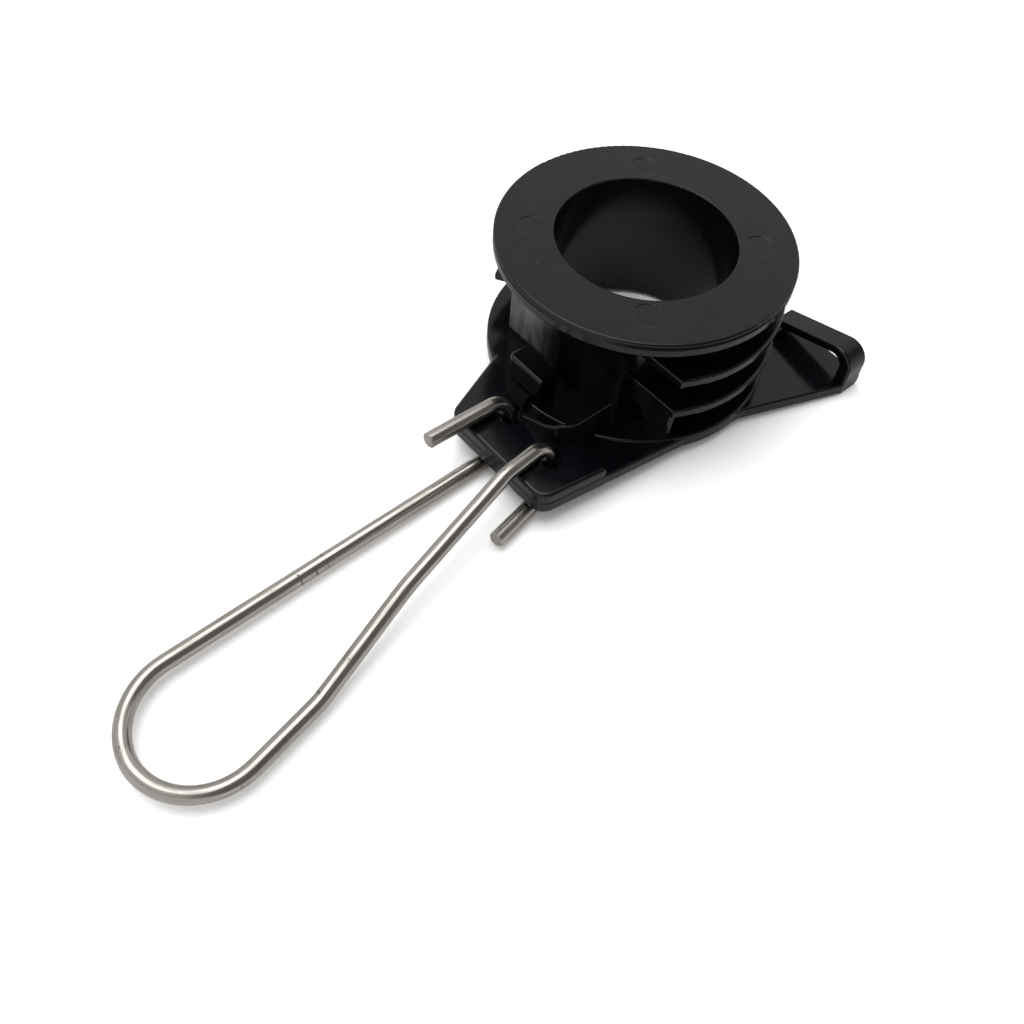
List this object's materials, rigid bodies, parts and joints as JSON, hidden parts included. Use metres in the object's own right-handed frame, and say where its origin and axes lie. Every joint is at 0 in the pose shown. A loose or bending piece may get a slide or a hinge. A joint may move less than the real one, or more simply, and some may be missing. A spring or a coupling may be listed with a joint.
{
  "type": "drop cable clamp",
  "caption": "Round moulded clamp for fibre drop cable: a finned drum on a plate with a rear hook, and a bent wire bail to hang it by.",
  "frame": {"origin": "on the drum's bore axis, at the underside of the base plate", "axes": "+Z along the bore towards the flange, -X towards the bail's loop, +X towards the rear hook"},
  "size_m": [0.1547, 0.0648, 0.034],
  "materials": {
    "black_plastic": "satin",
    "steel_wire": "satin"
  },
  "bodies": {
    "clamp": {"clamp_body": "black_plastic"},
    "bail": {"wire_bail": "steel_wire"}
  },
  "joints": [
    {"name": "bail_rock", "type": "hinge", "parent": "clamp", "child": "bail", "pos_m": [-0.0354, -0.0093, 0.0023], "axis": [0, 1, 0], "range_deg": [-2, 2]}
  ]
}
